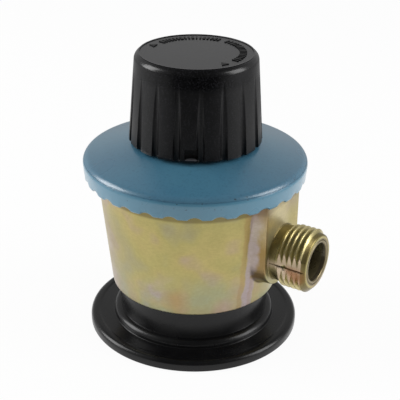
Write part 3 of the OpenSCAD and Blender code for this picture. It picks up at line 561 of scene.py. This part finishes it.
def outlet_boss():
    """Tombstone-shaped pad: flat face, rounded front edge, drafted sides, fillet to the cone."""
    edge, fillet, root = 0.45, 1.0, 1.2

    def on_cone(y, z):
        """The cone's x beside a place in the boss's outline."""
        return math.sqrt(max(cone_r(z) ** 2 - y * y, 1))

    rings = []
    for angle in range(90, -1, -15):
        a = math.radians(angle)
        rings.append(boss_ring(edge * math.cos(a) - edge,
                               lambda y, z, a=a: BOSS_X - edge + edge * math.sin(a)))
    base = math.tan(BOSS_DRAFT) * BOSS_DEPTH
    for angle in range(0, 91, 15):
        a = math.radians(angle)
        rings.append(boss_ring(base + fillet * (1 - math.cos(a)),
                               lambda y, z, a=a: min(BOSS_X - edge - 0.2 - 0.1 * math.sin(a),
                                                     on_cone(y, z) + fillet * (1 - math.sin(a)))))
    rings.append(boss_ring(base + fillet, lambda y, z: on_cone(y, z) - root))
    bm = bmesh.new()
    first = [bm.verts.new(Vector(p) * MM) for p in rings[0]]
    edges = [bm.edges.new(pair) for pair in zip(first, first[1:] + first[:1])]
    bm.faces.new(first)
    loop = first
    for ring in rings[1:]:
        grown = bmesh.ops.extrude_edge_only(bm, edges=edges)["geom"]
        edges = [g for g in grown if isinstance(g, bmesh.types.BMEdge) and len(g.link_faces) == 1]
        new = [next(e.other_vert(v) for e in v.link_edges
                    if e.other_vert(v) in grown and e.other_vert(v) not in loop) for v in loop]
        for vert, point in zip(new, ring):
            vert.co = Vector(point) * MM
        loop = new
    bmesh.ops.holes_fill(bm, edges=edges, sides=0)
    return bm


def thread_radius(x, angle):
    """Radius of the helical thread at a place: flanks, rounded crests and the run-in's chamfer."""
    root_w, flank_w = 0.14, 0.72
    phase = ((x - THREAD_START) / THREAD_PITCH - angle / (2 * math.pi)) % 1
    flank = max(0, min(1, (abs(phase - 0.5) * 2 - root_w) / flank_w))
    crest = THREAD_R - CREST_CUT
    r = soft_min(THREAD_ROOT_R + (crest - THREAD_ROOT_R) * flank, crest, 0.12)
    return soft_min(r, THREAD_ROOT_R + (x - THREAD_START) * 1.1 + 0.1, 0.3)


def outlet_spigot():
    """The outlet: neck with its root fillet, G 1/2 thread, chamfer, ringed end and open bore."""
    foot = 0.4
    end = OUTLET_END
    root = BOSS_X - 5.6
    fillet = arc((NECK_R + foot, BOSS_X + foot), foot, 270, 180, 8)
    first, last = THREAD_START - 0.4, end - 1.5
    steps = int((last - first) / 0.12)
    thread = [(NECK_R, first + (last - first) * i / steps) for i in range(steps + 1)]
    face = [(9.1, end - 0.35), (8.7, end - 0.08), (8.2, end), (7.5, end - 0.06), (7.36, end - 0.3),
            (7.22, end - 0.06), (6.9, end), (6.55, end - 0.05), (BORE_R, end - 0.35)]
    bore = [(BORE_R, end - 4), (BORE_R, BOSS_X - 3), (3.6, BOSS_X - 3.4), (3.4, BOSS_X - 4.6),
            (0, BOSS_X - 4.6)]
    outline = [(0, root), (NECK_R + foot, root)] + fillet + thread + face + bore
    bm = lathe(outline, 288, closed=False, along="X")
    for vert in bm.verts:
        x, y, z = vert.co / MM
        r = math.hypot(y, z)
        if x < first - 0.05 or r < NECK_R - 0.01 or x > last + 0.1:
            continue
        new_r = max(NECK_R, thread_radius(x, math.atan2(z, y)))
        side = abs(y) / r
        if side > 0.5:
            # The die's halves left a flat on both sides, a parting line and a small dimple.
            line = math.exp(-(z / 0.18) ** 2) * 0.22
            dimple = math.exp(-((x - THREAD_START - 2.6) ** 2 + z * z) / 0.7) * 0.35
            step = 0.12 if z < 0 else 0
            new_r = soft_min(new_r, (FLAT_AT + step - line - dimple) / side, 0.06)
        vert.co = Vector((x, y / r * new_r, z / r * new_r)) * MM
    bmesh.ops.translate(bm, vec=(0, 0, OUTLET_Z * MM), verts=bm.verts)
    return bm


# ---------------------------------------------------------------- cover


def cover_shell():
    """Pressed steel cover: coned top, rounded edge, skirt crimped under the casting's rim."""
    top = COVER_HIGH.z
    low = COVER_LOW.z
    inner = COVER_R - COVER_T
    slope = math.degrees(COVER_SLOPE)
    hole = HOUSING_R - 3.5
    crease, lip_r, tuck, fold = 0.13, 0.8, 0.4, 1.6
    outer = [(hole, top), (PLATEAU_R, top)]
    edge = (COVER_EDGE_R, COVER_EDGE_Z)
    outer += arc(edge, COVER_ROUND, 90 - slope, CREASE_AT + 4, 8)
    outer += arc(edge, COVER_ROUND - crease, CREASE_AT + 1, CREASE_AT - 1, 2)
    outer += arc(edge, COVER_ROUND, CREASE_AT - 4, 0, 5)
    lip = arc((COVER_R - tuck - lip_r, low + lip_r), lip_r, 0, -90, 6)
    inside = [(inner - fold, low), (inner - fold, low + 1.0), (inner, low + COVER_T),
              (inner, COVER_EDGE_Z), (PLATEAU_R, top - COVER_T), (hole, top - COVER_T)]
    bm = lathe(finer(outer + lip + inside, 1.2), 720)
    bite_r = ((BITE_W / 2) ** 2 + BITE_H ** 2) / (2 * BITE_H)
    pitch = 2 * math.pi / CRIMPS
    for vert in bm.verts:
        x, y, z = vert.co / MM
        reach = 1 - (z - low) / BITE_FADE
        if reach <= 0 or math.hypot(x, y) < inner - 3:
            continue
        angle = (math.atan2(y, x) - CRIMP_AT + pitch / 2) % pitch - pitch / 2
        across = abs(angle) * COVER_R
        bite = BITE_H - bite_r + math.sqrt(max(bite_r ** 2 - across ** 2, 0))
        vert.co.z += max(0.0, -soft_min(-bite, 0.0, 0.25)) * min(1, reach) * MM
    return bm


# ---------------------------------------------------------------- knob


def knob_side(z):
    """Radius of the knob's tapered side."""
    return KNOB_R - math.tan(KNOB_TAPER) * (z - KNOB_LOW.z)


def knob_shell():
    """Moulded knob: tapered side with grooves that run out below a tight shoulder."""
    low, high = KNOB_LOW.z, KNOB_HIGH.z
    side_top = knob_side(high - KNOB_ROUND)
    shoulder = arc((side_top - KNOB_ROUND, high - KNOB_ROUND), KNOB_ROUND, 4, 76, 9)
    face = [(FACE_R + 0.25, high - 0.02), (FACE_R + 0.1, high - 0.08), (FACE_R, high - FACE_DROP),
            (9, high - FACE_DROP)]
    outer = finer([(KNOB_R - 0.25, low), (KNOB_R, low + 0.25), shoulder[0]], 0.7, closed=False)
    inner = [(0, high - FACE_DROP), (0, high - KNOB_WALL),
             (knob_side(high) - KNOB_WALL, high - KNOB_WALL), (KNOB_R - KNOB_WALL, low)]
    bm = lathe(outer + shoulder[1:] + face + inner, GROOVES * 48)
    pitch = 2 * math.pi / GROOVES
    for vert in bm.verts:
        x, y, z = vert.co / MM
        r = math.hypot(x, y)
        # Only the outer skin is grooved: not the face, nor the inside.
        if r < knob_side(z) - KNOB_ROUND or z > high - 1 or r < KNOB_R - 6:
            continue
        if r < knob_side(z) - KNOB_WALL + 0.1 and z < high - 4:
            continue
        angle = (math.atan2(y, x) - GROOVE_AT + pitch / 2) % pitch - pitch / 2
        across = r * math.sin(abs(angle))
        if across > GROOVE_R * 1.3:
            continue
        middle = KNOB_R + GROOVE_R - GROOVE_DEPTH - math.tan(GROOVE_DRAFT) * (z - low)
        inside = max(GROOVE_R ** 2 - across ** 2, 0)
        cut = middle - math.sqrt(inside) + (0 if inside else (across - GROOVE_R) * 2)
        new_r = soft_min(r, cut, 0.1)
        vert.co.x *= new_r / r
        vert.co.y *= new_r / r
    return bm


def cut_window(bm):
    """Opens the small latch window low in one land and gives it walls."""
    doomed = []
    for face in bm.faces:
        x, y, z = face.calc_center_median() / MM
        outside = math.hypot(x, y) > knob_side(z) - KNOB_WALL + 0.3
        across = abs(math.atan2(y, x) - WINDOW_AT) * KNOB_R
        if outside and WINDOW_LOW < z < WINDOW_HIGH and across < WINDOW_HALF_W:
            doomed.append(face)
    bmesh.ops.delete(bm, geom=doomed, context="FACES")
    rim = [e for e in bm.edges if e.is_boundary]
    grown = bmesh.ops.extrude_edge_only(bm, edges=rim)["geom"]
    verts = [g for g in grown if isinstance(g, bmesh.types.BMVert)]
    inward = -Vector((math.cos(WINDOW_AT), math.sin(WINDOW_AT), 0)) * WINDOW_DEPTH * MM
    bmesh.ops.translate(bm, vec=inward, verts=verts)
    bmesh.ops.holes_fill(bm, edges=[e for e in bm.edges if e.is_boundary], sides=0)
    return bm


def set_on_face(bm, verts, radius, angle):
    """Moves a mark made at the origin to its place round the knob's face."""
    bmesh.ops.translate(bm, vec=(radius * MM, 0, 0), verts=verts)
    bmesh.ops.rotate(bm, cent=(0, 0, 0), matrix=Matrix.Rotation(angle, 3, "Z"), verts=verts)


def face_bar(bm, angle, along):
    """A raised bar on the knob's face, along wide round the face."""
    made = bmesh.ops.create_cube(bm, size=1)["verts"]
    bmesh.ops.scale(bm, vec=(MARK_TALL * MM, along * MM, MARK_T * MM), verts=made)
    set_on_face(bm, made, MARK_R, angle)


def face_arrow(bm, angle, way):
    """A raised arrowhead that points round the face; way is 1 or -1."""
    made = bmesh.ops.create_cone(bm, cap_ends=True, segments=3, radius1=ARROW_R * MM,
                                 radius2=ARROW_R * MM, depth=MARK_T * MM)["verts"]
    point = Matrix.Rotation(way * math.pi / 2, 3, "Z")
    bmesh.ops.rotate(bm, cent=(0, 0, 0), matrix=point, verts=made)
    set_on_face(bm, made, ARROW_AT, angle)


def knob_marks():
    """Plain raised marks: two arrowheads and two rows of bars between them."""
    bm = bmesh.new()
    face_arrow(bm, math.radians(-171), -1)
    face_arrow(bm, math.radians(-24 - 360), 1)
    for row, (first, last, count) in enumerate(((-189, -267, 17), (-280, -364, 16))):
        for i in range(count):
            angle = math.radians(first + (last - first) * i / (count - 1))
            face_bar(bm, angle, MARK_NARROW if (i + row) % 3 else MARK_WIDE)
    bmesh.ops.translate(bm, vec=(0, 0, (KNOB_HIGH.z - 0.24) * MM), verts=bm.verts)
    return bm


# ---------------------------------------------------------------- collar


def collar_ring():
    """Black collar: tube, rounded step and wide flange with a rolled rim."""
    flange_r, top = COLLAR_HIGH.x, COLLAR_HIGH.z
    outline = rounded([
        (SLEEVE_R, 0, 0.3), (flange_r, 0, 0.5), (flange_r, FLANGE_T, 1.7),
        (flange_r - 2.7, FLANGE_T, 0.8), (flange_r - 3.4, DISH_T, 0.8),
        (STEP_R + 0.7, DISH_T, 0.3), (STEP_R + 0.5, STEP_TOP, 2.1), (TUBE_R, STEP_TOP + 0.1, 0.1),
        (TUBE_R, top, 0.4), (SLEEVE_R, top, 0.3)], 7)
    return lathe(finer(outline, 5), 300)


# ---------------------------------------------------------------- assembly

CAST = (ZINC, "casing", "casting_zinc", ["body_casting"])
finish_piece("casting_cone", casting_cone(), *CAST)
finish_piece("outlet_boss", outlet_boss(), *CAST, sharp=60)
finish_piece("outlet_spigot", outlet_spigot(), THREAD_ZINC, *CAST[1:], sharp=50)
finish_piece("cover_shell", cover_shell(), ENAMEL, "casing", "cover_paint", ["cover"])
finish_piece("knob_shell", cut_window(knob_shell()), ABS, "knob", "knob_plastic", ["knob"], 50)
finish_piece("knob_marks", knob_marks(), MARKS, "knob", "knob_plastic")
finish_piece("collar_ring", collar_ring(), LACQUER, "collar", "collar_black", ["locking_collar"])

for part in frame["record"]["subparts"]:
    holder = NODES[part["node"]]
    for place in holder.material_slots:
        place.material = SLOT_FINISH[part["material_slot"]]

# ---------------------------------------------------------------- springs and diaphragm


def yielding(node, slot):
    """A copy of a spring or the diaphragm, made a piece of its own in place of the CAD node."""
    bm = bmesh.new()
    bm.from_mesh(NODES[node].data)
    bmesh.ops.remove_doubles(bm, verts=bm.verts, dist=1e-7)
    piece = finish_piece(node + "_flexing", bm, SLOT_FINISH[slot], "casing", slot, [node])
    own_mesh(piece)


yielding("collar_spring", "spring_steel")
yielding("return_spring", "spring_steel")
yielding("regulating_spring", "spring_steel")
yielding("diaphragm", "rubber")

# ---------------------------------------------------------------- studio


VIEW_AZIMUTH = math.radians(31.97)
CAMERA_NEAR, CAMERA_UP = 307.43, 192.98  # mm
CAMERA_DOWN = math.radians(25.745)
CAMERA_YAW = math.radians(0.325)
CAMERA_ROLL = math.radians(0.863)
FLOOR_Z = -0.05  # mm
FLOOR_GLOW = 0.94
POOL_FROM, POOL_TO = 0.14, 0.24  # metres, like all that follows
FILL = 0.48
SOFTBOX_SIZE = 0.34, 0.45
SOFTBOX_AIM = Vector((0, 0, 0.05))


def from_camera(right, near, up):
    """A place as seen from the camera: how far right of the axis, nearer than it, and up."""
    c, s = math.cos(VIEW_AZIMUTH), math.sin(VIEW_AZIMUTH)
    return Vector((right * c + near * s, right * s - near * c, up))


def facing(tree, direction):
    """1 where a direction points to the studio's dim front, 0 towards its sides and back."""
    level = add(tree, "VectorMath", {0: direction, 1: (1, 1, 0)}, operation="MULTIPLY")
    level = add(tree, "VectorMath", {0: level}, operation="NORMALIZE")
    towards = add(tree, "VectorMath", {0: level, 1: from_camera(0, 1, 0)}, operation="DOT_PRODUCT")
    return add(tree, "MapRange", {0: towards, 1: 0.3, 2: 0.8, 3: 0.0, 4: 1.0})


def mirrored_rays(tree):
    """The Light Path's outputs, and 1 for glossy and transmitted rays."""
    rays = add(tree, "LightPath").outputs
    return rays, add(tree, "Math", {0: rays["Is Glossy Ray"], 1: rays["Is Transmission Ray"]},
                     operation="MAXIMUM")


def studio_floor():
    """A pale floor, nearly white to the camera, that keeps the object's shadow; its paper is
    painted dark in front, and far off for glossy rays, as painted shade in reflections.
    """
    bm = bmesh.new()
    bmesh.ops.create_grid(bm, x_segments=1, y_segments=1, size=3)
    bmesh.ops.translate(bm, vec=(0, 0, FLOOR_Z * MM), verts=bm.verts)
    mesh = bpy.data.meshes.new("floor")
    bm.to_mesh(mesh)
    bm.free()
    floor = bpy.data.objects.new("floor", mesh)
    bpy.context.collection.objects.link(floor)
    material = bpy.data.materials.new("pale_floor")
    material.use_nodes = True
    tree = material.node_tree
    tree.nodes.clear()
    place = add(tree, "TexCoord").outputs["Object"]
    distance = add(tree, "VectorMath", {0: place}, operation="LENGTH")
    away = add(tree, "MapRange", {0: distance, 1: POOL_FROM, 2: POOL_TO, 3: 0.0, 4: 1.0})
    front = add(tree, "Math", {0: away, 1: facing(tree, place)}, operation="MULTIPLY")
    rays, gloss = mirrored_rays(tree)
    # Mirrored, the floor is a white pool round the object that fades out to the sides and in front.
    fade = add(tree, "MapRange", {0: away, 3: 1.0, 4: 0.2})
    not_front = add(tree, "MapRange", {0: front, 3: 1.0, 4: 0.0})
    pool = add(tree, "Math", {0: fade, 1: not_front}, operation="MULTIPLY")
    lit = add(tree, "Math", {0: gloss, 1: pool}, operation="MULTIPLY")
    white = add(tree, "Math", {0: rays["Is Camera Ray"], 1: lit}, operation="MAXIMUM")
    seen = add(tree, "Math", {0: white, 1: FLOOR_GLOW}, operation="MULTIPLY")
    # Painted shade: the paper is painted dark in front of the object, and glossy rays see the far
    # paper greyer, which keeps the black knob's flanks black.
    far = add(tree, "Math", {0: gloss, 1: away}, operation="MULTIPLY")
    dull = add(tree, "Math", {0: far, 1: 0.7}, operation="MULTIPLY")
    shade = add(tree, "Math", {0: front, 1: dull}, operation="MAXIMUM")
    paper = add(tree, "BsdfDiffuse", {"Color": stained(tree, "#F4F4F4", "#202020", shade, 1.0)})
    glow = add(tree, "Emission", {"Color": "#FFFFFF", "Strength": 1.0})
    top = add(tree, "MixShader", {0: seen, 1: paper, 2: glow})
    # Seen from below, the floor is clear, so the underside shows.
    below = add(tree, "NewGeometry").outputs["Backfacing"]
    clear = add(tree, "BsdfTransparent")
    add(tree, "OutputMaterial", {
        "Surface": add(tree, "MixShader", {0: below, 1: top, 2: clear})})
    mesh.materials.append(material)


def softbox(name, place, watts):
    """An area lamp at a place, turned to the object."""
    lamp = bpy.data.lights.new(name, "AREA")
    lamp.shape = "RECTANGLE"
    lamp.size, lamp.size_y = SOFTBOX_SIZE
    lamp.energy = watts
    holder = bpy.data.objects.new(name, lamp)
    bpy.context.collection.objects.link(holder)
    holder.location = place
    holder.rotation_mode = "QUATERNION"
    holder.rotation_quaternion = (SOFTBOX_AIM - place).to_track_quat("-Z", "Y")


def studio_camera():
    """The camera: its distance and height in mm, a small yaw and roll, and a 91 mm lens."""
    data = bpy.data.cameras.new("camera")
    data.lens, data.sensor_width = 91.1, 36
    camera = bpy.data.objects.new("camera", data)
    bpy.context.collection.objects.link(camera)
    camera.location = from_camera(0, CAMERA_NEAR, CAMERA_UP) * MM
    turn = Matrix.Rotation(VIEW_AZIMUTH - CAMERA_YAW, 4, "Z")
    tilt = Matrix.Rotation(math.pi / 2 - CAMERA_DOWN, 4, "X")
    roll = Matrix.Rotation(CAMERA_ROLL, 4, "Z")
    camera.rotation_mode = "QUATERNION"
    camera.rotation_quaternion = (turn @ tilt @ roll).to_quaternion()
    data.clip_start, data.clip_end = 0.01, 20
    bpy.context.scene.camera = camera


def studio_world():
    """White to the camera and a plain fill; mirrored, it is dim overhead and in front."""
    world = bpy.data.worlds.new("studio")
    bpy.context.scene.world = world
    world.use_nodes = True
    tree = world.node_tree
    tree.nodes.clear()
    way = add(tree, "TexCoord").outputs["Generated"]
    height = add(tree, "SeparateXYZ", {0: way}).outputs["Z"]
    low = add(tree, "MapRange", {0: height, 1: 0.95, 2: 0.6, 3: 0.0, 4: 1.0})
    back = add(tree, "MapRange", {0: facing(tree, way), 3: 1.0, 4: 0.0})
    white = add(tree, "Math", {0: low, 1: back}, operation="MULTIPLY")
    glossy = add(tree, "MapRange", {0: white, 3: 0.1, 4: 0.5})
    rays, gloss = mirrored_rays(tree)
    inner = add(tree, "Mix", {0: gloss, 2: FILL, 3: glossy}, data_type="FLOAT")
    outer = add(tree, "Mix", {0: rays["Is Camera Ray"], 2: inner, 3: 1.0}, data_type="FLOAT")
    light = add(tree, "Background", {"Color": "#FFFFFF", "Strength": outer})
    add(tree, "OutputWorld", {"Surface": light})


studio_floor()
studio_world()
softbox("left_softbox", from_camera(-0.62, -0.06, 0.32), 3.0)
softbox("right_softbox", from_camera(0.6, 0.1, 0.3), 2.3)
studio_camera()
bpy.context.scene.view_settings.view_transform = "Standard"
